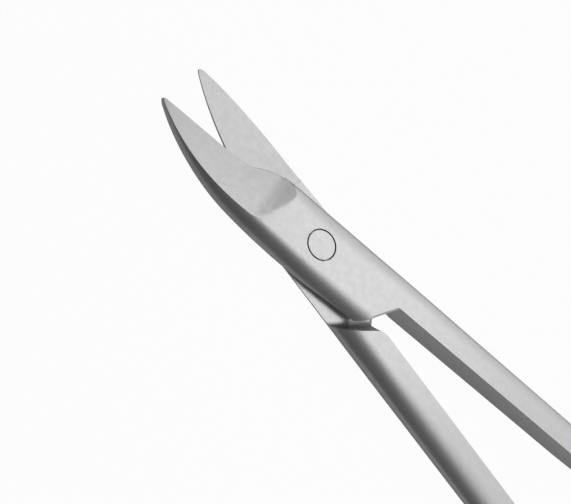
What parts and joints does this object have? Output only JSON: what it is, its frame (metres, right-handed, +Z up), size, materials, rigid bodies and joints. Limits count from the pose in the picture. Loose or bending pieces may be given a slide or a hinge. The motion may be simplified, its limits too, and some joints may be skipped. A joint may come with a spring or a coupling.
{
  "type": "crown scissors",
  "caption": "Slender curved crown scissors in satin stainless steel, half open, with a flush pivot screw and oval finger rings.",
  "frame": {"origin": "middle of the scissors' footprint at the stored opening, on the surface that they lie on", "axes": "+X from the finger rings to the blade tips, along the line that halves the opening; +Z up, along the pivot, the way the blades curve; +Y across, on the side of the lower half's ring"},
  "size_m": [0.1127, 0.071, 0.006],
  "materials": {
    "satin_steel_upper": "satin, glass-bead blasted and fine brushed",
    "satin_steel_lower": "satin, glass-bead blasted and fine brushed",
    "screw_steel": "satin, ground flush"
  },
  "bodies": {
    "lower": {"lower_half": "satin_steel_lower", "pivot_screw": "screw_steel"},
    "upper": {"upper_half": "satin_steel_upper"}
  },
  "joints": [
    {"name": "pivot", "type": "hinge", "parent": "lower", "child": "upper", "pos_m": [0.03007, 0, 0.00185], "axis": [0, 0, 1], "range_deg": [-14.9, 75.1]}
  ]
}
